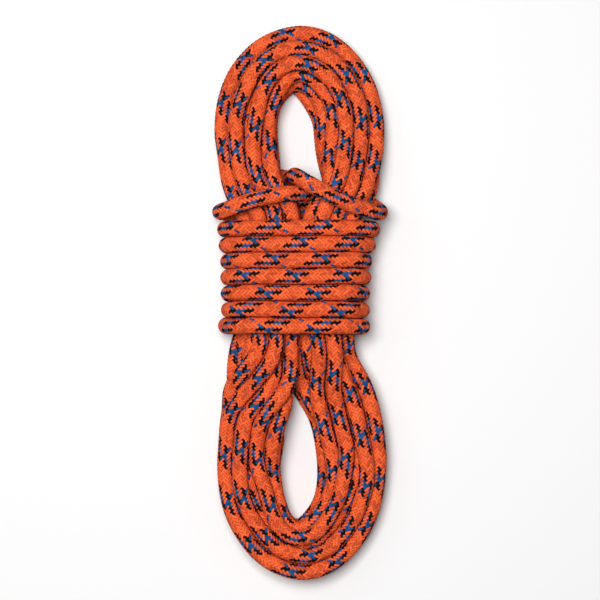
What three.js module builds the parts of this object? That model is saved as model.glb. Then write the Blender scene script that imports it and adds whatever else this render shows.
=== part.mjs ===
import * as THREE from 'three';

// A climbing rope made up into a short hank: the rope is folded up and down into upper
// and lower loops, wrapped seven times round the middle, and locked by passing its end
// twice through the upper loops. The hank lies on its back: +Z is its front, +Y its
// upper loops, and the surface it lies on is z = 0. Lengths are in millimetres, except
// that routes and outlines are written in layout units of 10.5 mm.

const UNIT = 10.5;
const ROPE = 10;
const GAP = 0.3;

// The folded strands, in layout units
const LAYERS = 3;
const LAYER_GAP = 1.2 / UNIT;
const LIFT = 1.1;
const NECK_HEIGHT = 3.28;
const LOOP_HEIGHT = 3.3;
const TURN_DIP = 0.75;
const NECK_ROUNDING = 1.5;
const LOOP_ROUNDING = 0.5;
const OUTLINE_STEPS = 76;

// Stretches along y, in layout units: where each begins, is full, is still full and ends
const LIFT_STRETCH = [-11, -6, 12.4, 15.9];
const NECK_STRETCH = [-6.5, -2, 5.8, 9];
const DIP_STRETCH = [4.2, 5, 6.8, 8];

// The wraps round the middle, in layout units
const WRAPS = 7;
const WRAP_PITCH = 0.945;
const FIRST_WRAP_Y = -1.5;
const FIRST_WRAP_X = -0.24;
const WRAP_DRIFT = 0.034;
const WAIST = 3.94;
const WAIST_FLARE = 0.028;
const WAIST_WRAP = 1.8;
const WRAP_CORNER = 2.0;
const CORNER_STEPS = 5;

// The rope's ends
const SHEATH_WALL = 1.1;
const CORE_STRANDS = 7;
const CORE_STRAND_DIAMETER = 2;
const SLEEVE_WALL = 0.4;
const SLEEVE_LENGTH = 24;
const SHEATH_END_LENGTH = 30;
const TIP_LENGTH = 2;

const ORANGE = 0xe8602f;
const DEEP_ORANGE = 0xcf4d28;
const CORE_WHITE = 0xe9e4d8;
const SLEEVE_BLACK = 0x17171a;
const MELTED = 0x3a1a14;
const SHEATH_ROUGHNESS = 0.75;
const CORE_ROUGHNESS = 0.7;
const SLEEVE_ROUGHNESS = 0.45;
const MELTED_ROUGHNESS = 0.35;

// The edges of the folded strands, in layout units, station by station: outer x and y,
// then inner x and y. They start in the middle of the left leg and go up it, over the
// upper loops, down the right leg and round the lower loops.
const STATIONS = [
  [-3.48, 1.6, -0.24, 1.6],
  [-3.7, 4.9, -0.24, 4.9],
  [-4.25, 5.8, -0.5, 5.75],
  [-4.6, 6.9, -1.05, 6.9],
  [-4.82, 8.5, -1.15, 8.2],
  [-5.02, 10.2, -1.3, 9.9],
  [-4.78, 12.1, -1.22, 11.0],
  [-3.85, 14.1, -0.95, 11.7],
  [-2.2, 15.65, -0.6, 12.2],
  [0.3, 16.3, -0.2, 12.4],
  [2.4, 15.55, 0.15, 11.9],
  [3.95, 13.9, 0.58, 11.1],
  [4.88, 11.8, 0.88, 10.3],
  [5.08, 10.0, 0.88, 9.3],
  [4.95, 8.4, 0.72, 8.2],
  [4.65, 6.9, 1.62, 6.75],
  [4.2, 5.8, 0.95, 5.75],
  [3.6, 4.9, -0.18, 5.0],
  [3.08, 1.6, -0.18, 1.6],
  [3.05, -1.9, -0.18, -1.9],
  [3.9, -3.6, -0.12, -3.9],
  [4.7, -5.9, 0.1, -5.7],
  [5.05, -8.0, 0.75, -7.6],
  [5.15, -9.9, 1.05, -9.3],
  [4.88, -12.0, 1.08, -10.6],
  [4.05, -14.0, 0.85, -11.6],
  [2.45, -15.75, 0.4, -12.6],
  [0.3, -16.45, -0.15, -13.1],
  [-2.0, -15.75, -0.65, -12.6],
  [-3.65, -14.0, -0.98, -11.5],
  [-4.5, -12.2, -1.15, -10.3],
  [-4.8, -10.0, -1.15, -9.0],
  [-4.65, -7.8, -0.85, -7.4],
  [-4.32, -5.6, -0.3, -5.8],
  [-4.1, -3.6, -0.26, -3.9],
  [-3.5, -1.9, -0.26, -1.9],
];

// The locking turns, in layout units. The left one crosses the back, comes round the left
// side and over the front, and goes down through the upper loops. The right one follows
// it across the back, round the right side and over the left one, and goes down through
// the upper loops again. What is left is the tail, under the left leg.
const LEFT_TURN = [
  [2.2, 5.2, 0.48], [0.5, 5.2, 0.48], [-2.6, 5.2, 0.48], [-3.4, 5.2, 0.57], [-4.1, 5.25, 0.95],
  [-4.6, 5.2, 1.95], [-4.57, 5.2, 2.9], [-4.05, 5.34, 3.75], [-3.0, 5.7, 4.22],
  [-1.9, 5.98, 4.32], [-0.95, 6.15, 4.3], [-0.3, 6.18, 4.08], [0.2, 6.2, 3.58],
  [0.46, 6.23, 3.1], [0.51, 6.25, 2.85],
];
const RIGHT_TURN = [
  [0.52, 6.27, 2.74], [0.55, 6.33, 2.3], [0.62, 6.42, 1.65], [0.85, 6.44, 1.02],
  [1.4, 6.42, 0.6], [2.1, 6.38, 0.48], [3.0, 6.2, 0.5], [4.1, 5.75, 0.95],
  [4.68, 5.3, 2.0], [4.7, 5.15, 3.1], [4.2, 5.15, 4.08], [3.1, 5.5, 4.75],
  [2.3, 5.82, 5.05], [1.6, 6.14, 5.28], [0.95, 6.5, 5.32], [0.4, 6.82, 5.1],
  [0.02, 7.08, 4.6], [-0.22, 7.23, 3.9], [-0.27, 7.26, 3.5],
  [-0.28, 7.27, 3.2],
];
const TAIL = [
  [-0.28, 7.27, 3.12], [-0.28, 7.27, 2.5], [-0.33, 7.26, 1.65], [-0.55, 7.24, 1.0],
  [-1.05, 7.34, 0.56], [-1.7, 7.6, 0.48], [-2.35, 8.15, 0.48], [-2.7, 8.85, 0.5],
  [-2.75, 9.52, 0.51],
];
const TAIL_END = { at: [-2.75, 9.573, 0.51], towards: [-2.75, 12.43, 0.51] };
const FIRST_END = { at: [-1.9, -5.377, 0.51], towards: [-1.9, -2.52, 0.51] };

function material(color, roughness) {
  return new THREE.MeshStandardMaterial({ color, roughness, metalness: 0 });
}

function node(name, geometry, finish) {
  const mesh = new THREE.Mesh(geometry, finish);
  mesh.name = name;
  return mesh;
}

// A closed band through rings of the same number of points, the last joined to the first.
function closedBand(rings) {
  const sides = rings[0].length;
  const positions = rings.flat().flatMap((point) => point.toArray());
  const index = [];
  rings.forEach((ring, i) => {
    const here = i * sides;
    const next = ((i + 1) % rings.length) * sides;
    ring.forEach((point, j) => {
      const k = (j + 1) % sides;
      index.push(here + j, here + k, next + j, here + k, next + k, next + j);
    });
  });
  const geometry = new THREE.BufferGeometry();
  geometry.setAttribute('position', new THREE.Float32BufferAttribute(positions, 3));
  geometry.setIndex(index);
  geometry.computeVertexNormals();
  return geometry;
}

// How far y lies into the stretch between its two limits: 0 outside, 1 past the ramps.
function plateau(y, [lowStart, lowEnd, highEnd, highStart]) {
  const rise = THREE.MathUtils.smoothstep(y, lowStart, lowEnd);
  return rise * (1 - THREE.MathUtils.smoothstep(y, highEnd, highStart));
}

// The strands' underside: down on the surface at both ends, lifted by the wraps between.
function underside(y) {
  return LIFT * plateau(y, LIFT_STRETCH);
}

function neckness(y) {
  return plateau(y, NECK_STRETCH);
}

// How far the locking turns press the strands down.
function turnDip(y) {
  return TURN_DIP * plateau(y, DIP_STRETCH);
}

const outerEdge = edgeCurve(0);
const innerEdge = edgeCurve(2);

function edgeCurve(column) {
  const points = STATIONS.map((s) => new THREE.Vector3(s[column], s[column + 1], 0));
  return new THREE.CatmullRomCurve3(points, true, 'centripetal');
}

// One layer of the folded strands: a band as wide as a leg, rounded where it is outermost.
function strandLayer(layer) {
  const rings = [];
  for (let i = 0; i < OUTLINE_STEPS; i += 1) {
    const outer = outerEdge.getPoint(i / OUTLINE_STEPS);
    const inner = innerEdge.getPoint(i / OUTLINE_STEPS);
    const width = outer.distanceTo(inner);
    const corner = THREE.MathUtils.lerp(LOOP_ROUNDING, NECK_ROUNDING, neckness(outer.y));
    const cornerAt = (share) => {
      if (layer === 0) return corner * (1 - share) ** 2;
      return layer === LAYERS - 1 ? corner * share ** 2 : 0;
    };
    const section = [[0, 0], [0, 0.5], [0, 1], [1, 1], [1, 0]].map(([side, share]) => {
      const inset = side === 0 ? cornerAt(share) / width : 0;
      const point = new THREE.Vector3().lerpVectors(outer, inner, side + inset);
      const free = THREE.MathUtils.lerp(LOOP_HEIGHT, NECK_HEIGHT, neckness(point.y));
      const height = free - turnDip(point.y);
      const level = underside(point.y) + (height * (layer + share)) / LAYERS;
      const seam = share === 1 && layer < LAYERS - 1 ? LAYER_GAP : 0;
      return new THREE.Vector3(point.x, point.y, level - seam).multiplyScalar(UNIT);
    });
    rings.push(section);
  }
  return closedBand(rings);
}

// One wrap: a ring round the waist with straight runs front and back and round sides.
function wrapRing(turn) {
  const radius = (ROPE - GAP) / 2;
  const halfWidth = (WAIST + WAIST_FLARE * (turn - WAIST_WRAP) ** 2) * UNIT;
  const low = radius;
  const high = (2 * LIFT + NECK_HEIGHT) * UNIT - radius;
  const corner = WRAP_CORNER * UNIT;
  const across = halfWidth - corner;
  const middle = (low + high) / 2;
  const up = (high - low) / 2 - corner;
  const centre = new THREE.Vector3(
    (FIRST_WRAP_X + WRAP_DRIFT * turn) * UNIT,
    (FIRST_WRAP_Y + WRAP_PITCH * turn) * UNIT,
    middle,
  );
  const rings = [];
  for (let quarter = 0; quarter < 4; quarter += 1) {
    const right = quarter === 0 || quarter === 3 ? 1 : -1;
    const top = quarter < 2 ? 1 : -1;
    for (let i = 0; i <= CORNER_STEPS; i += 1) {
      const angle = ((quarter + i / CORNER_STEPS) * Math.PI) / 2;
      const outward = new THREE.Vector3(Math.cos(angle), 0, Math.sin(angle));
      const path = new THREE.Vector3(right * across, 0, top * up)
        .addScaledVector(outward, corner)
        .add(centre);
      rings.push(octagon(path, outward, new THREE.Vector3(0, 1, 0), radius));
    }
  }
  return closedBand(rings);
}

// An octagon with flats at the given radius, square to its two directions.
function octagon(centre, first, second, radius) {
  const reach = radius / Math.cos(Math.PI / 8);
  return Array.from({ length: 8 }, (_, side) => {
    const angle = ((side + 0.5) * Math.PI) / 4;
    return centre.clone()
      .addScaledVector(first, reach * Math.cos(angle))
      .addScaledVector(second, reach * Math.sin(angle));
  });
}

function circleShape(radius, sides) {
  const points = Array.from({ length: sides }, (_, i) => {
    const angle = (2 * Math.PI * i) / sides;
    return new THREE.Vector2(radius * Math.cos(angle), radius * Math.sin(angle));
  });
  return new THREE.Shape(points);
}

function ropeTube(route, steps) {
  const points = route.map(([x, y, z]) => new THREE.Vector3(x, y, z).multiplyScalar(UNIT));
  const extrudePath = new THREE.CatmullRomCurve3(points, false, 'centripetal');
  return new THREE.ExtrudeGeometry(circleShape((ROPE - GAP) / 2, 10), { steps, extrudePath });
}

// A pipe along +Y from y = start, open at both ends.
function pipe(inner, outer, start, length) {
  const profile = [
    [inner, start], [outer, start], [outer, start + length], [inner, start + length],
    [inner, start],
  ];
  return new THREE.LatheGeometry(profile.map(([x, y]) => new THREE.Vector2(x, y)), 20);
}

function rod(radius, start, length, x, z) {
  const geometry = new THREE.CylinderGeometry(radius, radius, length, 10);
  return geometry.translate(x, start + length / 2, z);
}

// One end of the rope: the sheath's last stretch with the core strands in it, the sleeve
// shrunk over it, and the tip where the cut fibres are melted together.
function ropeEnd(name, { at, towards }) {
  const group = new THREE.Group();
  const start = new THREE.Vector3(...at).multiplyScalar(UNIT);
  const aim = new THREE.Vector3(...towards).multiplyScalar(UNIT).sub(start).normalize();
  group.position.copy(start);
  group.quaternion.setFromUnitVectors(new THREE.Vector3(0, 1, 0), aim);

  const sleeveRadius = ROPE / 2 + GAP;
  const sheathRadius = sleeveRadius - SLEEVE_WALL - GAP;
  const bore = sheathRadius - SHEATH_WALL;
  const sleeveStart = SHEATH_END_LENGTH - SLEEVE_LENGTH;
  group.add(
    node(
      `${name}_sheath`,
      pipe(bore, sheathRadius, 0, SHEATH_END_LENGTH),
      material(ORANGE, SHEATH_ROUGHNESS),
    ),
    node(
      `${name}_sleeve`,
      pipe(sheathRadius + GAP, sleeveRadius, sleeveStart, SLEEVE_LENGTH),
      material(SLEEVE_BLACK, SLEEVE_ROUGHNESS),
    ),
    node(
      `${name}_melted_tip`,
      rod(sheathRadius, SHEATH_END_LENGTH + GAP, TIP_LENGTH, 0, 0),
      material(MELTED, MELTED_ROUGHNESS),
    ),
  );
  for (let strand = 0; strand < CORE_STRANDS; strand += 1) {
    const around = (strand * 2 * Math.PI) / (CORE_STRANDS - 1);
    const out = strand === CORE_STRANDS - 1 ? 0 : CORE_STRAND_DIAMETER + GAP;
    group.add(
      node(
        `${name}_core_strand_${strand + 1}`,
        rod(
          CORE_STRAND_DIAMETER / 2, 0, SHEATH_END_LENGTH,
          out * Math.cos(around), out * Math.sin(around),
        ),
        material(CORE_WHITE, CORE_ROUGHNESS),
      ),
    );
  }
  return group;
}

const hank = new THREE.Group();
const layerNames = ['back_strands', 'middle_strands', 'front_strands'];
layerNames.forEach((name, layer) => {
  const color = layer === LAYERS - 1 ? ORANGE : DEEP_ORANGE;
  hank.add(node(name, strandLayer(layer), material(color, SHEATH_ROUGHNESS)));
});
for (let turn = 0; turn < WRAPS; turn += 1) {
  hank.add(node(`wrap_${turn + 1}`, wrapRing(turn), material(ORANGE, SHEATH_ROUGHNESS)));
}
hank.add(node('locking_turn_left', ropeTube(LEFT_TURN, 26), material(ORANGE, SHEATH_ROUGHNESS)));
hank.add(node('locking_turn_right', ropeTube(RIGHT_TURN, 32), material(ORANGE, SHEATH_ROUGHNESS)));
hank.add(node('tail', ropeTube(TAIL, 12), material(ORANGE, SHEATH_ROUGHNESS)));
hank.add(ropeEnd('tail_end', TAIL_END));
hank.add(ropeEnd('first_end', FIRST_END));

export default hank;
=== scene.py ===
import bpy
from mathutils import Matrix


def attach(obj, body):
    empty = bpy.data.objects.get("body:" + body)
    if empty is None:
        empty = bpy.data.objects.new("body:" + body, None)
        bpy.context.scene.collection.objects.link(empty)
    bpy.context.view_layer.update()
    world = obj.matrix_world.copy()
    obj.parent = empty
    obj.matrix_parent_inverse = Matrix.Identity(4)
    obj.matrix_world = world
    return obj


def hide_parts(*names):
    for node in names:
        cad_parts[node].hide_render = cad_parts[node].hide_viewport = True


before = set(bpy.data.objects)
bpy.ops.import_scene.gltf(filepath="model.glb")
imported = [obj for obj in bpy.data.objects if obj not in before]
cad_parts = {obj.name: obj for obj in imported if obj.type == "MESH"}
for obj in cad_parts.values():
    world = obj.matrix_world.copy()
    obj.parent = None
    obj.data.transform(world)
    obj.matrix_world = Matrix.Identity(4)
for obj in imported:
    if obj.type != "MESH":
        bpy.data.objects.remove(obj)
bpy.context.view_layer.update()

import math

import bpy
import numpy as np

# A climbing rope made up into a hank: the rope's centreline is laid out turn by turn,
# settled so that the strands press against each other and lie on the surface, and then
# covered with its braid, one raised float of yarn at a time. The centreline is worked
# out in layout units, with the same outline and locking turns as the CAD model.

ROPE = 0.0100  # rope diameter, in metres
UNIT = 0.0105  # the layout's unit, in metres: all places below are in this unit
THICK = ROPE / UNIT
STEP = 0.5  # spacing of the centreline's points while it settles
FINEST = 0.05  # spacing of the points that they are chosen from
STATION_JUMP = 3  # stations further apart than this don't belong to one stretch

# The folded strands
TURNS = 11
COLUMNS = 4
STRAND_POINTS = 40
LIFT = 1.1  # how high the strands lie where the wraps pass under them
NECK_X = -0.2
NECK_SHIFT = 0.35  # how much further right the strands leave the wraps at the top
NECK_SHIFT_OVER = (2.5, 5.2)
NECK_COLUMN = 0.835  # from column to column inside the wraps
NECK_MIDDLE = 2.6  # the height about which the strands lean below the wraps
NECK_LEAN = 0.8
NO_STATION = -1.0  # marks the stretches that follow no station

# Stretches along y: where each begins, is full, is still full and ends
LIFT_STRETCH = (-11, -6, 12.4, 15.9)
NECK_STRETCH = (-5.2, -1.6, 5.4, 7.6)
LEAN_STRETCH = (-6.8, -3.6, -2.8, -0.6)

# The shares of a strand over which it changes to its next slot, and to its other side
SLOT_CHANGE = (0.03, 0.3)
SIDE_CHANGE = (0.35, 0.65)

# Where the strands lie four deep and three wide, as (level, rank) for each row and column,
# the rows counted from the back and the columns from the outside
DEEP_PLACES = (
    ((1, 0), (0, 0), (0, 1), (0, 2)),
    ((2, 0), (2, 1), (1, 1), (1, 2)),
    ((3, 0), (3, 1), (3, 2), (2, 2)),
)
LEVEL = 0.87  # from level to level
TOP_LEVEL = 3
# Along the stations: how deep the strands lie, from three rows (0) to four levels (1), and
# how far each level lies inside the one above it
DEPTH_AT = (
    (0, 0), (4.5, 0), (7, 1), (14.5, 1), (16.8, 0), (20.5, 0), (23, 1), (30, 1), (32.5, 0),
)
LEAN_AT = (
    (0, 0), (5, 0.1), (7, 0.5), (15, 0.5), (17, 0.3), (22, 0.4), (25, 0.2), (27, 0), (36, 0),
)

# The wraps round the middle
WRAPS = 7
WRAP_PITCH = 0.945
FIRST_WRAP_Y = -1.5
FIRST_WRAP_X = -0.24
WRAP_DRIFT = 0.034
WAIST = 3.94
WAIST_FLARE = 0.028
WAIST_WRAP = 1.8
WRAP_CORNER = 2.0
WRAP_TOP = 5.0
WRAP_POINTS = 24
LEAD_OUT_POINTS = 6
WRAP_RISE = 0.27  # the share of a turn in which a wrap rises to the next one
LAST_RISE = 0.14

# How the wraps are eased: how far they and the top ones spread, as shares of the distance
# from the middle, where the top ones are, and how far the stretch after them is lifted
WRAP_SPREAD = 0.03
TOP_WRAP_SPREAD = 0.035
TOP_WRAPS = (2.4, 4.2)
LAST_LIFT = 1.06

# The edges of the folded strands, station by station: outer x and y, then inner x and y.
STATIONS = np.array([
    (-3.48, 1.6, -0.24, 1.6), (-3.7, 4.9, 0.35, 5.2), (-4.25, 5.8, 0.1, 5.9),
    (-4.6, 6.9, -0.98, 6.9), (-4.82, 8.5, -1.15, 8.2), (-5.02, 10.2, -1.3, 9.9),
    (-4.78, 12.1, -1.22, 11.0), (-3.85, 14.1, -0.95, 11.7), (-2.2, 15.65, -0.6, 12.2),
    (0.3, 16.3, -0.2, 12.4), (2.4, 15.55, 0.15, 11.9), (3.95, 13.9, 0.58, 11.1),
    (4.88, 11.8, 0.88, 10.3), (5.08, 10.0, 0.88, 9.3), (4.95, 8.4, 0.72, 8.2),
    (4.65, 6.9, 1.45, 6.75), (4.2, 5.8, 0.75, 5.8), (3.6, 4.9, 0.15, 5.0),
    (3.08, 1.6, -0.18, 1.6), (3.05, -1.9, -0.18, -1.9), (3.9, -3.6, -0.12, -3.9),
    (4.7, -5.9, 0.1, -5.7), (5.05, -8.0, 0.75, -7.6), (5.15, -9.9, 1.05, -9.3),
    (4.88, -12.0, 1.08, -10.6), (4.05, -14.0, 0.85, -11.6), (2.45, -15.75, 0.4, -12.6),
    (0.3, -16.45, -0.15, -13.1), (-2.0, -15.75, -0.65, -12.6), (-3.65, -14.0, -0.98, -11.5),
    (-4.5, -12.2, -1.15, -10.3), (-4.8, -10.0, -1.15, -9.0), (-4.65, -7.8, -0.85, -7.4),
    (-4.32, -5.6, -0.3, -5.8), (-4.1, -3.6, -0.26, -3.9), (-3.5, -1.9, -0.26, -1.9),
])
STATION_COUNT = len(STATIONS)
HALF_WAY = STATION_COUNT // 2
FIRST_STATION = 33.0  # the first strand begins here
LAST_STATION = 21.0  # and the last one ends here, after an arc that reaches further out
LAST_ARC_SHARE = 0.33
LAST_ARC_REACH = 3.2

# The rope's first stretch, its way from the last folded strand to the wraps, and its last
# stretch, from the wraps on
FIRST_END = [(-1.9, -2.52, 0.51), (-1.9, -3.5, 0.51), (-1.9, -4.6, 0.51), (-1.9, -5.6, 0.51)]
LEAD_IN = [(3.2, -4.0, 0.52), (2.5, -2.9, 0.5)]
LOCKING_TURNS = [
    (-4.1, 5.25, 0.95), (-4.6, 5.2, 1.95), (-4.57, 5.2, 2.9), (-4.05, 5.34, 3.75),
    (-3.0, 5.7, 4.22), (-1.9, 5.98, 4.32), (-0.95, 6.15, 4.3), (-0.3, 6.18, 4.08),
    (0.2, 6.2, 3.58), (0.48, 6.24, 2.95), (0.55, 6.33, 2.3), (0.62, 6.42, 1.65),
    (0.85, 6.44, 1.02), (1.4, 6.42, 0.6), (2.1, 6.38, 0.48), (3.0, 6.2, 0.5),
    (4.1, 5.75, 0.95), (4.68, 5.3, 2.0), (4.7, 5.15, 3.1), (4.2, 5.15, 4.08),
    (3.1, 5.5, 4.75), (2.3, 5.82, 5.05), (1.6, 6.14, 5.28), (0.95, 6.5, 5.32),
    (0.4, 6.82, 5.1), (0.02, 7.08, 4.6), (-0.22, 7.23, 3.9), (-0.28, 7.27, 3.2),
    (-0.28, 7.27, 2.5), (-0.33, 7.26, 1.65), (-0.55, 7.24, 1.0), (-1.05, 7.34, 0.56),
    (-1.7, 7.6, 0.48), (-2.35, 8.15, 0.48), (-2.7, 8.8, 0.5), (-2.75, 9.3, 0.51),
    (-2.75, 12.43, 0.51),
]


def smoothstep(x, low, high):
    t = np.clip((x - low) / (high - low), 0, 1)
    return t * t * (3 - 2 * t)


def plateau(y, low_start, low_end, high_end, high_start):
    return smoothstep(y, low_start, low_end) * (1 - smoothstep(y, high_end, high_start))


def underside(y):
    return LIFT * plateau(y, *LIFT_STRETCH)


def neckness(y):
    return plateau(y, *NECK_STRETCH)


def neck_lean(y):
    """Below the wraps the front strands cross to the right, over the back ones."""
    return NECK_LEAN * plateau(y, *LEAN_STRETCH)


def through(points, share):
    """Catmull-Rom between the middle two of four points."""
    before, here, after, beyond = points
    return 0.5 * (
        2 * here + (after - before) * share
        + (2 * before - 5 * here + 4 * after - beyond) * share**2
        + (3 * here - before - 3 * after + beyond) * share**3
    )


def edge(column, station):
    """The outer edge (column 0) or the inner one (column 2) at places counted in stations."""
    xy = STATIONS[:, column:column + 2]
    place = np.asarray(station, float) % STATION_COUNT
    first = np.floor(place).astype(int)
    share = (place - first)[:, None]
    return through([xy[(first + k) % STATION_COUNT] for k in (-1, 0, 1, 2)], share)


def slot(turn):
    """A turn's row, counted from the back, and its column, counted from the outside."""
    row, place = divmod((turn + 1) % (TURNS + 1), COLUMNS)
    return row, ((0, 3, 2, 1), (0, 1, 2, 3), (3, 2, 1, 0))[row][place]


def stagger(column, side):
    """Every second column lies half a diameter higher, in the grooves of the others."""
    return 0.5 * THICK * ((column if side < 0 else 2 * COLUMNS - 1 - column) % 2)


def loop_place(station, row, column, side):
    outer, inner = edge(0, station), edge(2, station)
    width = np.linalg.norm(outer - inner, axis=1)
    depth = np.interp(station, *zip(*DEPTH_AT))
    lean = np.interp(station, *zip(*LEAN_AT))
    level, rank = DEEP_PLACES[row][column]
    below = TOP_LEVEL - level
    deep_inset = 0.5 + rank + lean * below + (0.5 - lean) * (below % 2)
    flat_inset = 0.5 + column * (width - 1) / (COLUMNS - 1)
    inset = flat_inset * (1 - depth) + deep_inset * depth
    flat_height = THICK * row + stagger(column, side)
    height = flat_height * (1 - depth) + LEVEL * level * depth
    xy = outer + (inner - outer) * (inset / width)[:, None]
    return np.column_stack([xy, underside(xy[:, 1]) + 0.5 + height])


def neck_place(points, side, row, column):
    out = points.copy()
    middle = NECK_X + NECK_SHIFT * smoothstep(points[:, 1], *NECK_SHIFT_OVER)
    out[:, 0] = middle + side * NECK_COLUMN * (COLUMNS - 0.5 - column)
    out[:, 2] = LIFT + (row + 0.5) * THICK + stagger(column, side)
    return out


def strand(station, start, end, start_side, end_side):
    """One pass through the loops, from neck to neck, changing slot early on the way."""
    share = np.linspace(0, 1, len(station))
    change = smoothstep(share, *SLOT_CHANGE)[:, None]
    cross = smoothstep(share, *SIDE_CHANGE)[:, None]
    points = (
        loop_place(station, *start, start_side) * (1 - change)
        + loop_place(station, *end, start_side) * change
    )
    points = points * (1 - cross) + loop_place(station, *end, end_side) * cross
    half = len(station) // 2
    neck = np.vstack([
        neck_place(points[:half], start_side, *start),
        neck_place(points[half:], end_side, *end),
    ])
    share_in_neck = neckness(points[:, 1])[:, None]
    points = points * (1 - share_in_neck) + neck * share_in_neck
    points[:, 0] += neck_lean(points[:, 1]) * (points[:, 2] - NECK_MIDDLE)
    return np.column_stack([points, station])


def free_route(points):
    """A stretch that follows no station."""
    points = np.asarray(points, float)
    return np.column_stack([points, np.full(len(points), NO_STATION)])


def last_arc(station, points):
    """The last strand leaves the front and goes round the outside of the left leg."""
    change = smoothstep((STATION_COUNT - station) / HALF_WAY, 0, LAST_ARC_SHARE)
    outward = edge(0, station) - edge(2, station)
    outward /= np.linalg.norm(outward, axis=1)[:, None]
    points[:, :2] += LAST_ARC_REACH * (change * (1 - change))[:, None] * outward
    return points[station > LAST_STATION]


def waist_point(share, half_width, centre):
    """A point round the waist: along the back to the left, up, along the front, and down."""
    low, high = 0.5 * THICK, WRAP_TOP
    across, up = half_width - WRAP_CORNER, (high - low) / 2 - WRAP_CORNER
    quarter = math.pi * WRAP_CORNER / 2
    runs = [2 * across, quarter, 2 * up, quarter] * 2
    left = share % 1 * sum(runs)
    x, z, heading = across, low, math.pi
    for number, run in enumerate(runs):
        distance = min(left, run)
        left -= distance
        if number % 2:
            middle_x = x + WRAP_CORNER * math.sin(heading)
            middle_z = z - WRAP_CORNER * math.cos(heading)
            heading -= distance / WRAP_CORNER
            x = middle_x - WRAP_CORNER * math.sin(heading)
            z = middle_z + WRAP_CORNER * math.cos(heading)
        else:
            x += distance * math.cos(heading)
            z += distance * math.sin(heading)
        if left <= 0:
            break
    return x + centre, z


def wraps():
    """The wraps rise across the back and run level over the front. What follows the last
    one rises sooner, behind the gap between the legs."""
    points = []
    for step in range(WRAPS * WRAP_POINTS + LEAD_OUT_POINTS):
        number, share = divmod(step / WRAP_POINTS, 1)
        rise = WRAP_RISE if number < WRAPS else LAST_RISE
        turn = number - 1 + smoothstep(share, 0, rise)
        half_width = WAIST + WAIST_FLARE * (turn - WAIST_WRAP) ** 2
        x, z = waist_point(share, half_width, FIRST_WRAP_X + WRAP_DRIFT * turn)
        points.append((x, FIRST_WRAP_Y + WRAP_PITCH * turn, z))
    return points


def resample(points, step):
    run = np.linalg.norm(np.diff(points[:, :3], axis=0), axis=1)
    along = np.concatenate([[0], np.cumsum(run)])
    count = int(round(along[-1] / step)) + 1
    places = np.linspace(0, along[-1], count)
    return np.column_stack([np.interp(places, along, column) for column in points.T])


def smooth_route(points, step):
    """A smooth line through the points, resampled evenly."""
    ends = np.vstack([2 * points[0] - points[1], points, 2 * points[-1] - points[-2]])
    fine = []
    for i in range(1, len(ends) - 2):
        four = ends[i - 1:i + 3]
        count = max(2, int(np.linalg.norm((four[2] - four[1])[:3]) / FINEST))
        share = np.arange(count)[:, None] / count
        piece = through(four, share)
        piece[:, 3] = four[1, 3]
        if abs(four[2, 3] - four[1, 3]) < STATION_JUMP:
            piece[:, 3] += (four[2, 3] - four[1, 3]) * share[:, 0]
        fine.append(piece)
    return resample(np.vstack(fine + [points[-1:]]), step)


def layout():
    """The whole centreline before it settles, and where the wraps start in it."""
    upper = np.linspace(HALF_WAY, 0, STRAND_POINTS)
    lower = np.linspace(STATION_COUNT, HALF_WAY, STRAND_POINTS)
    pieces = []
    for turn in range(TURNS + 1):
        low = strand(lower, slot(turn - 1), slot(turn), -1, 1)
        if turn == 0:
            low = np.vstack([free_route(FIRST_END), low[lower < FIRST_STATION]])
        if turn == TURNS:
            low = np.vstack([last_arc(lower, low), free_route(LEAD_IN)])
        pieces.append(low)
        if turn < TURNS:
            pieces.append(strand(upper, slot(turn), slot(turn), 1, -1)[1:-1])
    folded = len(smooth_route(np.vstack(pieces), STEP))
    pieces.append(free_route(wraps())[1:])
    locked = len(smooth_route(np.vstack(pieces), STEP)) + LEAD_OUT_STEPS
    pieces.append(free_route(LOCKING_TURNS))
    return smooth_route(np.vstack(pieces), STEP), folded, locked


# Settling: its rounds, which points push each other, and how much each influence moves
# the points in one round
SETTLING = 500
EASING = 432  # the round in which the wraps are eased
PULLING = 0.85  # the share of the rounds with tightening, homing and sinking
NEIGHBOURS_EVERY = 12  # the number of rounds after which neighbours are looked for again
NEAR = 1.3  # neighbours are closer together than this
NEAR_APART = 2.2  # and further apart than this along the rope
PAIRS_BLOCK = 500
CLEAR = 1.01  # how far apart they are pushed, in diameters
PUSH = 1.2
STIFFNESS = 0.25
TIGHTENING = 0.1
WRAP_HOMING = 0.006
STRAND_HOMING = 0.02
SINKING = 0.006
SPACING_HOLD = 0.4
OUTLINE_HOLD = 0.5

# Counted in points: those that stay where they are at the rope's start, those that still
# settle after the wraps, those over which the spread of the wraps begins and ends, and the
# stretch that is lifted, counted from where the fixed points of the locking turns begin
FIRST_FIXED = 6
LEAD_OUT_STEPS = 4
EASED_IN_STEPS = 8
LAST_LIFT_STEPS = (-17, -10, -9, -2)


def near_pairs(points, reach, apart):
    """Pairs of points closer than reach that are more than apart points from each other."""
    found = []
    square = (points**2).sum(1)
    for start in range(0, len(points), PAIRS_BLOCK):
        end = start + PAIRS_BLOCK
        block = points[start:end]
        distance = square[start:end, None] + square[None] - 2 * block @ points.T
        first, second = np.nonzero(distance < reach * reach)
        first += start
        keep = second - first > apart
        found.append(np.column_stack([first[keep], second[keep]]))
    return np.vstack(found).T


def push_apart(points, first, second, distance):
    gap = points[first] - points[second]
    size = np.linalg.norm(gap, axis=1) + 1e-9
    push = np.clip(distance - size, 0, None)
    move = gap * (0.5 * push / size)[:, None]
    count = len(points)
    hits = np.bincount(first, push > 0, count) + np.bincount(second, push > 0, count)
    total = np.column_stack([
        np.bincount(first, move[:, k], count) - np.bincount(second, move[:, k], count)
        for k in range(3)
    ])
    return total * (PUSH / np.sqrt(np.maximum(1, hits)))[:, None]


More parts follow.
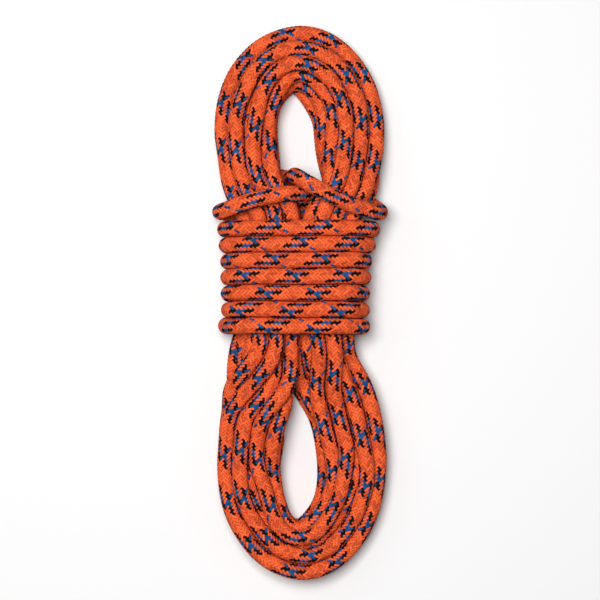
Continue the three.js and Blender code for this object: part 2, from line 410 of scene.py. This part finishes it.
def bend(points):
    """How far each point is off the line between its neighbours."""
    out = np.zeros_like(points)
    out[1:-1] = 0.5 * (points[:-2] + points[2:]) - points[1:-1]
    return out


def ease_wraps(points, folded, locked):
    """The wraps stand out a little at the sides, the top one the most. The stretch behind
    the legs that follows them lies higher up, across the gap between the legs."""
    number = np.arange(len(points))
    wrapped = plateau(number, folded, folded + EASED_IN_STEPS, locked - EASED_IN_STEPS, locked)
    spread = WRAP_SPREAD + TOP_WRAP_SPREAD * smoothstep(points[:, 1], *TOP_WRAPS)
    points[:, 0] += wrapped * spread * (points[:, 0] - FIRST_WRAP_X)
    points[:, 1] += LAST_LIFT * plateau(number - locked, *LAST_LIFT_STEPS)


def settle(route, folded, locked, rounds):
    """Press the strands together: they push each other apart, rest on the surface, keep
    their spacing, stay in the hank's outline, and the wraps pull tight."""
    station = route[:, 3]
    points = route[:, :3].copy()
    home = points.copy()
    in_loops = station >= 0
    outer = edge(0, np.where(in_loops, station, 0))
    inner = edge(2, np.where(in_loops, station, 0))
    width = np.linalg.norm(inner - outer, axis=1)
    inward = (inner - outer) / width[:, None]
    winding = np.arange(len(points)) >= folded
    free = np.ones(len(points))
    free[:FIRST_FIXED] = free[locked:] = 0
    for number in range(rounds):
        if number == EASING:
            ease_wraps(points, folded, locked)
        if number % NEIGHBOURS_EVERY == 0:
            first, second = near_pairs(points, NEAR, round(NEAR_APART / STEP))
        points += push_apart(points, first, second, CLEAR * THICK) * free[:, None]
        off = bend(points)
        stiff = bend(off)
        stiff[:2] = stiff[-2:] = 0
        points -= STIFFNESS * stiff * free[:, None]
        pull = free * (number < PULLING * rounds)
        points += (TIGHTENING * winding * pull)[:, None] * off
        homing = np.where(winding, WRAP_HOMING, STRAND_HOMING) * pull
        points[:, :2] += homing[:, None] * (home - points)[:, :2]
        points[:, 2] -= SINKING * pull * ~winding
        for odd in (0, 1):
            here = np.arange(odd, len(points) - 1, 2)
            gap = points[here + 1] - points[here]
            size = np.linalg.norm(gap, axis=1) + 1e-9
            hold = np.where(winding[here], 0, SPACING_HOLD) * (size - STEP) / size
            points[here] += gap * (hold * free[here])[:, None]
            points[here + 1] -= gap * (hold * free[here + 1])[:, None]
        lean = neck_lean(points[:, 1]) * (points[:, 2] - NECK_MIDDLE)
        place = ((points[:, :2] - outer) * inward).sum(1) - lean * inward[:, 0]
        wanted = np.clip(place, 0.5 * THICK, width - 0.5 * THICK)
        points[:, :2] += (OUTLINE_HOLD * (wanted - place) * in_loops * free)[:, None] * inward
        points[:, 2] = np.maximum(points[:, 2], 0.5 * THICK)
    return points


route, folded_count, locked_count = layout()
centreline = settle(route, folded_count, locked_count, SETTLING)

# The braid: 24 carriers, 12 leaning each way, each float passing over two of the others.
LAY = 2.82  # length along the rope of one turn of a carrier, in layout units
CARRIERS = 12
PLACES = 2 * CARRIERS
END_ROWS = 3  # rows of floats left off at the rope's end, under the sleeve
CROWN = 0.506 * THICK
CORE_RADIUS = 0.445 * THICK
TUBE_RADIUS = 0.44 * THICK
TUBE_SIDES = 12
TUBE_STEP = 0.2
FINE = 0.08  # spacing of the points that the braid follows
PATH_STEP = 0.25  # spacing of the cord's path
# A float's own grid: steps along and across it, how high it stands and how wide it is
FLOAT_ALONG = np.array([-1.42, -0.7, 0.7, 1.42])
FLOAT_LIFT = np.array([-0.1, 0.9, 0.9, -0.1])
FLOAT_NARROWING = np.array([0.6, 1.0, 1.0, 0.6])
FLOAT_ACROSS = np.array([-0.45, 0.0, 0.45])
FLOAT_CROWN = np.array([0.0, 1.0, 0.0])
BLACK_FULLNESS = 1.12  # the black yarn is a little thicker than the others
ORANGE, BLACK, BLUE, SHADOW = 0, 1, 2, 3
LEANING_LEFT = [BLACK, BLACK, BLUE, BLUE, BLACK, BLACK] + [ORANGE] * 6
LEANING_RIGHT = [ORANGE, BLUE] + [ORANGE] * 10

# The bake map: a square of tiles, a quarter of them for each colour, shared by the floats
TILES = 16
TILES_EACH = TILES * TILES // 4
TILE_INSET = 0.06


def unit(vectors):
    return vectors / np.linalg.norm(vectors, axis=1)[:, None]


def frames(points):
    """Directions across the line, without any twist about the line."""
    along = unit(np.gradient(points, axis=0))
    across = np.zeros_like(points)
    across[0] = unit(np.cross(along[:1], [[0, 0, 1.0]]))[0]
    for i in range(1, len(points)):
        step = across[i - 1] - along[i] * (across[i - 1] @ along[i])
        across[i] = step / math.sqrt(step @ step)
    return across, np.cross(along, across)


def smooth_centreline(points, step):
    flat = np.column_stack([points, np.zeros(len(points))])
    return smooth_route(flat, step)[:, :3]


line = smooth_centreline(centreline, FINE)
line_across, line_up = frames(line)
line_along = np.concatenate([[0], np.cumsum(np.linalg.norm(np.diff(line, axis=0), axis=1))])
line_length = line_along[-1]


def on_rope(distance, angle, radius):
    """Points on the rope, from their distance along it, angle round it and radius."""
    def at(values):
        return np.stack([np.interp(distance, line_along, values[:, k]) for k in range(3)], -1)
    outward = np.cos(angle)[..., None] * at(line_across) + np.sin(angle)[..., None] * at(line_up)
    outward /= np.linalg.norm(outward, axis=-1)[..., None]
    return at(line) + radius[..., None] * outward


def float_list():
    """Each float's distance, angle, lean and colour."""
    rows = int(line_length / LAY * PLACES) - END_ROWS
    place, row = np.meshgrid(np.arange(PLACES), np.arange(1, rows), indexing="ij")
    place, row = place.ravel(), row.ravel()
    same = (place + row) % 2 == 0
    out = []
    for lean, first_place, colours in ((1, 0, LEANING_RIGHT), (-1, 3, LEANING_LEFT)):
        chosen = same & (place % 4 == first_place)
        a, b = place[chosen], row[chosen]
        colour = np.array(colours)[((a - lean * b) // 2) % CARRIERS]
        distance = (b + 0.5) * LAY / PLACES
        angle = (a + 0.5 * lean) * 2 * math.pi / PLACES
        out.append(np.column_stack([distance, angle, np.full(len(a), lean), colour]))
    return np.vstack(out)


def float_vertices(floats):
    """A pillow of yarn for each float. One step along it goes one place round the rope and
    one row on; one step across it goes one place back and one row on."""
    round_step = 2 * math.pi / PLACES
    row_step = LAY / PLACES
    along = FLOAT_ALONG[:, None]
    fullness = np.where(floats[:, 3] == BLACK, BLACK_FULLNESS, 1.0)[:, None, None]
    across = fullness * FLOAT_ACROSS[None] * FLOAT_NARROWING[:, None]
    lift = FLOAT_LIFT[:, None] * FLOAT_CROWN[None]
    distance = floats[:, 0, None, None] + row_step * (along + across)
    lean = floats[:, 2, None, None]
    angle = floats[:, 1, None, None] + lean * round_step * (along - across)
    radius = np.broadcast_to(CORE_RADIUS + (CROWN - CORE_RADIUS) * lift, distance.shape)
    return on_rope(np.clip(distance, 0, line_length), angle, radius)


def grid_quads(rows, columns):
    return np.array([
        (i * columns + j, i * columns + j + 1, (i + 1) * columns + j + 1, (i + 1) * columns + j)
        for i in range(rows - 1)
        for j in range(columns - 1)
    ])


def float_faces(floats):
    """The pillows' faces, turned so that they all face out, and their corners' places."""
    rows, columns = len(FLOAT_ALONG), len(FLOAT_ACROSS)
    quads = grid_quads(rows, columns)
    first = rows * columns * np.arange(len(floats))[:, None, None]
    turned = floats[:, 2] > 0
    quads = np.where(turned[:, None, None], quads[None], quads[None, :, ::-1])
    return (first + quads).reshape(-1, 4), quads


def on_tile(tile, own):
    """Places on the bake map, from the tile's number and places on the tile."""
    corner = np.stack([tile % TILES, tile // TILES], -1)
    return (corner + TILE_INSET + (1 - 2 * TILE_INSET) * own) / TILES


def ring_quads(rings, sides):
    """The faces of a tube's wall, from its number of rings and of points in a ring."""
    ring = np.arange(rings - 1)[:, None] * sides
    side = np.arange(sides)[None]
    after = (side + 1) % sides
    return np.stack(
        [ring + side, ring + after, ring + sides + after, ring + sides + side], -1
    ).reshape(-1, 4)


def float_maps(floats, quads):
    """Two maps: the tile each float is baked on, and the yarn's own width and length."""
    rows, columns = len(FLOAT_ALONG), len(FLOAT_ACROSS)
    row, column = np.divmod(np.arange(rows * columns), columns)
    own = np.column_stack([column / (columns - 1), row / (rows - 1)])
    own = own[quads]
    number = np.random.default_rng(7).integers(0, TILES_EACH, len(floats))
    tile = number + TILES_EACH * floats[:, 3].astype(int)
    return on_tile(tile[:, None, None], own).reshape(-1, 2), own.reshape(-1, 2)


def core_tube():
    """The dark tube under the floats, its colour painted shade for the gaps between them, with its
    corners' places on the bake map.
    """
    count = int(line_length / TUBE_STEP)
    distance = np.linspace(0, line_length, count)[:, None]
    angle = np.linspace(0, 2 * math.pi, TUBE_SIDES, endpoint=False)[None]
    distance, angle = np.broadcast_arrays(distance, angle)
    vertices = on_rope(distance, angle, np.full(distance.shape, TUBE_RADIUS))
    faces = ring_quads(count, TUBE_SIDES)
    own = np.tile([(0, 0), (1, 0), (1, 1), (0, 1)], (len(faces), 1)).astype(float)
    tile = TILES_EACH * SHADOW + np.repeat(np.arange(len(faces)) % TILES_EACH, 4)
    return vertices.reshape(-1, 3), faces, on_tile(tile, own), own


def build_mesh(name, vertices, faces, face_materials, materials, maps):
    mesh = bpy.data.meshes.new(name)
    mesh.vertices.add(len(vertices))
    mesh.vertices.foreach_set("co", np.ascontiguousarray(vertices, np.float32).ravel())
    mesh.loops.add(faces.size)
    mesh.loops.foreach_set("vertex_index", faces.ravel().astype(np.int32))
    mesh.polygons.add(len(faces))
    mesh.polygons.foreach_set("loop_start", np.arange(0, faces.size, 4, dtype=np.int32))
    mesh.polygons.foreach_set("material_index", face_materials.astype(np.int32))
    mesh.polygons.foreach_set("use_smooth", np.ones(len(faces), bool))
    mesh.update(calc_edges=True)
    for map_name, places in maps.items():
        layer = mesh.uv_layers.new(name=map_name)
        layer.data.foreach_set("uv", np.ascontiguousarray(places, np.float32).ravel())
    for material in materials:
        mesh.materials.append(material)
    piece = bpy.data.objects.new(name, mesh)
    bpy.context.collection.objects.link(piece)
    return piece


def new_node(material, kind, values=None, operation=None):
    node = material.node_tree.nodes.new(kind)
    if operation:
        node.operation = operation
    for key, value in (values or {}).items():
        node.inputs[key].default_value = value
    return node


def colour_ramp(material, low, high):
    """A ramp from one place and colour to another."""
    ramp = material.node_tree.nodes.new("ShaderNodeValToRGB")
    for element, (place, colour) in zip(ramp.color_ramp.elements, (low, high)):
        element.position = place
        element.color = (*colour, 1)
    return ramp


def new_material(name, specular):
    material = bpy.data.materials.new(name)
    material.use_nodes = True
    shader = material.node_tree.nodes["Principled BSDF"]
    shader.inputs["Specular IOR Level"].default_value = specular
    return material, shader, material.node_tree.links.new


def add_relief(material, pattern, strength, distance):
    """Small relief that follows a pattern's socket."""
    link = material.node_tree.links.new
    bump = new_node(material, "ShaderNodeBump", {"Strength": strength, "Distance": distance})
    link(pattern, bump.inputs["Height"])
    link(bump.outputs["Normal"], material.node_tree.nodes["Principled BSDF"].inputs["Normal"])


def vary_roughness(material, pattern, low, high):
    """Roughness from low to high along a pattern's socket."""
    link = material.node_tree.links.new
    rough = new_node(material, "ShaderNodeMapRange", {"To Min": low, "To Max": high})
    link(pattern, rough.inputs["Value"])
    shader = material.node_tree.nodes["Principled BSDF"]
    link(rough.outputs["Result"], shader.inputs["Roughness"])


FILAMENTS = (9.0, 1.3, 1.0)  # how many lie across a float, and how often one changes along it
# Each colour's name, darkest and lightest shade, and roughness, in the order of their numbers
YARNS = (
    ("orange_yarn", (0.34, 0.034, 0.013), (0.84, 0.125, 0.033), 0.7),
    ("black_yarn", (0.002, 0.001, 0.0015), (0.005, 0.0025, 0.003), 0.75),
    ("blue_yarn", (0.003, 0.022, 0.06), (0.01, 0.085, 0.24), 0.7),
    # sheath_shadow is painted shade: the dark colour of the tube that shows in the gaps between
    # the floats
    ("sheath_shadow", (0.02, 0.003, 0.002), (0.05, 0.006, 0.004), 0.9),
)


def yarn_material(name, dark, colour, roughness):
    """Dyed yarn: each float a little different in shade, with filaments along it, from its
    own part of the pattern. The same shader gives the dark core tube its painted shade between the
    floats."""
    material, shader, link = new_material(name, 0.1)
    yarn_map = material.node_tree.nodes.new("ShaderNodeUVMap")
    yarn_map.uv_map = "yarn"
    geometry = material.node_tree.nodes.new("ShaderNodeNewGeometry")
    stretch = new_node(material, "ShaderNodeVectorMath", {1: FILAMENTS}, "MULTIPLY")
    shift = new_node(material, "ShaderNodeVectorMath", operation="ADD")
    spread = new_node(material, "ShaderNodeMath", {1: 40.0}, "MULTIPLY")
    filaments = new_node(material, "ShaderNodeTexNoise", {"Scale": 1.0, "Detail": 2.0})
    link(yarn_map.outputs["UV"], stretch.inputs[0])
    link(geometry.outputs["Random Per Island"], spread.inputs[0])
    link(stretch.outputs[0], shift.inputs[0])
    link(spread.outputs[0], shift.inputs[1])
    link(shift.outputs[0], filaments.inputs["Vector"])
    shade = new_node(material, "ShaderNodeMath", {1: 0.5}, "MULTIPLY_ADD")
    link(geometry.outputs["Random Per Island"], shade.inputs[0])
    link(filaments.outputs["Fac"], shade.inputs[2])
    ramp = colour_ramp(material, (0.3, dark), (0.95, colour))
    link(shade.outputs[0], ramp.inputs["Fac"])
    link(ramp.outputs["Color"], shader.inputs["Base Color"])
    vary_roughness(material, filaments.outputs["Fac"], roughness + 0.1, roughness - 0.1)
    add_relief(material, filaments.outputs["Fac"], 0.35, 0.00012)
    return material


def make_rope():
    floats = float_list()
    pillows = float_vertices(floats).reshape(-1, 3)
    pillow_faces, quads = float_faces(floats)
    pillow_baked, pillow_own = float_maps(floats, quads)
    tube, tube_faces, tube_baked, tube_own = core_tube()
    per_float = len(pillow_faces) // len(floats)
    colours = np.concatenate([
        np.repeat(floats[:, 3].astype(int), per_float),
        np.full(len(tube_faces), SHADOW),
    ])
    return build_mesh(
        "rope",
        np.vstack([pillows, tube]) * UNIT,
        np.vstack([pillow_faces, tube_faces + len(pillows)]),
        colours,
        [yarn_material(*yarn) for yarn in YARNS],
        {
            "OFBake": np.vstack([pillow_baked, tube_baked]),
            "yarn": np.vstack([pillow_own, tube_own]),
        },
    )


# The camera looks straight down on the hank.
CAMERA_HEIGHT = 1.35
FRAMED_LEVEL = 2.5 * UNIT  # the height of the folded strands' middle
VIEW_WIDTH = 35.3 * UNIT  # how much the camera sees across at that height
AIM_X = 0.055 * UNIT


def make_camera():
    data = bpy.data.cameras.new("camera")
    camera = bpy.data.objects.new("camera", data)
    bpy.context.collection.objects.link(camera)
    camera.location = (AIM_X, 0, CAMERA_HEIGHT)
    data.lens = data.sensor_width * (CAMERA_HEIGHT - FRAMED_LEVEL) / VIEW_WIDTH
    bpy.context.scene.camera = camera


# The rope's ends: a sleeve shrunk over the sheath, and the fibres melted together. Both ends
# point along +Y. Where they are is in layout units, and their own sizes are in metres.
ENDS = {"tail_end": (-2.75, 9.573, 0.51), "first_end": (-1.9, -5.377, 0.51)}
SLEEVE_START = 0.006
SLEEVE_LENGTH = 0.024
SLEEVE_RADIUS = 0.00532
SLEEVE_SIDES = 48
SLEEVE_RIPPLE = 0.00002
TIP_START = 0.0301
TIP_SIDES = 32
TIP_RIPPLE = 0.00009
CORE_STRANDS = 7
# Pairs of (distance along, radius), the lip's from the sleeve's own radius
SLEEVE_LIP = (
    (0.0, -0.0003), (0.0, -0.0001), (0.0003, 0.0), (0.001, 0.00002), (0.0016, 0.0),
)
RINGS_FROM = 0.0024  # the low rings between the lips begin and end this far from the ends
RING_POINTS = 34
RING_PITCH = 0.0013
RING_DEPTH = 0.00005
RING_HEIGHT = 0.00003
TIP_PROFILE = (
    (0.0, 0.0), (0.0, 0.0042), (0.0003, 0.0046), (0.0009, 0.00472), (0.0015, 0.0044),
    (0.0019, 0.0036), (0.0021, 0.0024), (0.0022, 0.0012), (0.0022, 0.0),
)


def turned(name, profile, start, sides, ripple, material):
    """A surface turned about +Y from pairs of (distance along, radius), rippled a little."""
    angle = np.linspace(0, 2 * math.pi, sides, endpoint=False)
    rings = []
    for number, (along, radius) in enumerate(profile):
        wave = np.sin(6 * angle + 1.9 * number) + 0.7 * np.sin(2 * angle + 1 + 0.4 * number)
        reach = radius + ripple * wave * (radius > 0)
        place = np.full(sides, along) + ripple * np.sin(3 * angle + 2) * (along > 0)
        rings.append(np.column_stack([reach * np.cos(angle), place, reach * np.sin(angle)]))
    faces = ring_quads(len(rings), sides)[:, ::-1]
    return build_mesh(
        name, np.vstack(rings) + start, faces, np.zeros(len(faces)), [material], {}
    )


def sleeve_profile():
    """The sleeve's lips, and between them the braid showing through as low rings."""
    lip = [(along, SLEEVE_RADIUS + rise) for along, rise in SLEEVE_LIP]
    middle = [
        (along, SLEEVE_RADIUS - RING_DEPTH + RING_HEIGHT * math.cos(along * math.tau / RING_PITCH))
        for along in np.linspace(RINGS_FROM, SLEEVE_LENGTH - RINGS_FROM, RING_POINTS)
    ]
    return lip + middle + [(SLEEVE_LENGTH - along, radius) for along, radius in reversed(lip)]


def mottled_material(name, dark, light, roughness, scale):
    """Two shades in soft patches, with the roughness following them."""
    material, shader, link = new_material(name, 0.4)
    place = material.node_tree.nodes.new("ShaderNodeTexCoord")
    patches = new_node(material, "ShaderNodeTexNoise", {"Scale": scale, "Detail": 4.0})
    link(place.outputs["Object"], patches.inputs["Vector"])
    ramp = colour_ramp(material, (0.35, dark), (0.7, light))
    link(patches.outputs["Fac"], ramp.inputs["Fac"])
    link(ramp.outputs["Color"], shader.inputs["Base Color"])
    vary_roughness(material, patches.outputs["Fac"], roughness - 0.1, roughness + 0.1)
    add_relief(material, patches.outputs["Fac"], 0.3, 0.0002)
    return material


def core_material():
    """Undyed yarn, twisted: slanting plies with fine filaments."""
    material, shader, link = new_material("core_yarn", 0.2)
    shader.inputs["Sheen Weight"].default_value = 0.1
    place = material.node_tree.nodes.new("ShaderNodeTexCoord")
    plies = new_node(
        material, "ShaderNodeTexWave", {"Scale": 260.0, "Distortion": 1.5, "Detail": 2.0}
    )
    plies.bands_direction = "DIAGONAL"
    link(place.outputs["Object"], plies.inputs["Vector"])
    ramp = colour_ramp(material, (0.0, (0.55, 0.52, 0.46)), (1.0, (0.82, 0.8, 0.74)))
    link(plies.outputs["Fac"], ramp.inputs["Fac"])
    link(ramp.outputs["Color"], shader.inputs["Base Color"])
    shader.inputs["Roughness"].default_value = 0.7
    add_relief(material, plies.outputs["Fac"], 0.5, 0.0002)
    return material


def make_ends():
    """The sleeves and melted tips, in place of the CAD ones, and the core strands' yarn."""
    sleeve = mottled_material(
        "shrunk_sleeve", (0.006, 0.006, 0.007), (0.02, 0.02, 0.022), 0.42, 300
    )
    melted = mottled_material(
        "melted_fibre", (0.012, 0.006, 0.005), (0.16, 0.035, 0.015), 0.35, 420
    )
    core = core_material()
    made = []
    for end, place in ENDS.items():
        x, y, z = np.array(place) * UNIT
        shell = turned(
            f"sleeve_on_{end}", sleeve_profile(), (x, y + SLEEVE_START, z),
            SLEEVE_SIDES, SLEEVE_RIPPLE, sleeve,
        )
        tip = turned(
            f"tip_of_{end}", TIP_PROFILE, (x, y + TIP_START, z), TIP_SIDES, TIP_RIPPLE, melted
        )
        for piece, node, slot_name in (
            (shell, f"{end}_sleeve", "end_sleeve"),
            (tip, f"{end}_melted_tip", "melted_tip"),
        ):
            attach(piece, "root")
            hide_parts(node)
            made.append(piece)
        for number in range(1, CORE_STRANDS + 1):
            strand_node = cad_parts[f"{end}_core_strand_{number}"]
            strand_node.material_slots[0].material = core
    return made


make_camera()
rope = make_rope()
end_pieces = make_ends()
path = (smooth_centreline(centreline, PATH_STEP) * UNIT).tolist()
sheath_nodes = [
    "back_strands", "middle_strands", "front_strands", "locking_turn_left",
    "locking_turn_right", "tail", "tail_end_sheath", "first_end_sheath",
] + [f"wrap_{turn + 1}" for turn in range(WRAPS)]
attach(rope, "root")
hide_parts(*sheath_nodes)


def make_floor():
    half = 3.0
    mesh = bpy.data.meshes.new("floor")
    corners = [(-half, -half, 0), (half, -half, 0), (half, half, 0), (-half, half, 0)]
    mesh.from_pydata(corners, [], [(0, 1, 2, 3)])
    floor = bpy.data.objects.new("floor", mesh)
    bpy.context.collection.objects.link(floor)
    material, shader, _ = new_material("floor", 0.1)
    shader.inputs["Base Color"].default_value = (0.78, 0.78, 0.78, 1)
    shader.inputs["Roughness"].default_value = 0.9
    mesh.materials.append(material)


def make_light(name, place, size, power):
    """A square lamp that faces the hank's middle."""
    data = bpy.data.lights.new(name, "AREA")
    data.size = size
    data.energy = power
    lamp = bpy.data.objects.new(name, data)
    lamp.location = place
    x, y, z = place
    lamp.rotation_euler = (math.atan2(math.hypot(x, y), z), 0, math.atan2(x, -y))
    bpy.context.collection.objects.link(lamp)


def make_world(strength):
    world = bpy.data.worlds.new("world")
    world.use_nodes = True
    sky = world.node_tree.nodes["Background"]
    sky.inputs["Color"].default_value = (1, 1, 1, 1)
    sky.inputs["Strength"].default_value = strength
    bpy.context.scene.world = world


make_floor()
make_world(0.07)
make_light("overhead", (-0.15, 0.15, 1.5), 0.5, 27)
make_light("left", (-0.9, 0.5, 1.3), 0.8, 2.5)
make_light("right", (0.9, -0.2, 1.3), 0.8, 1)
bpy.context.scene.view_settings.view_transform = "Standard"
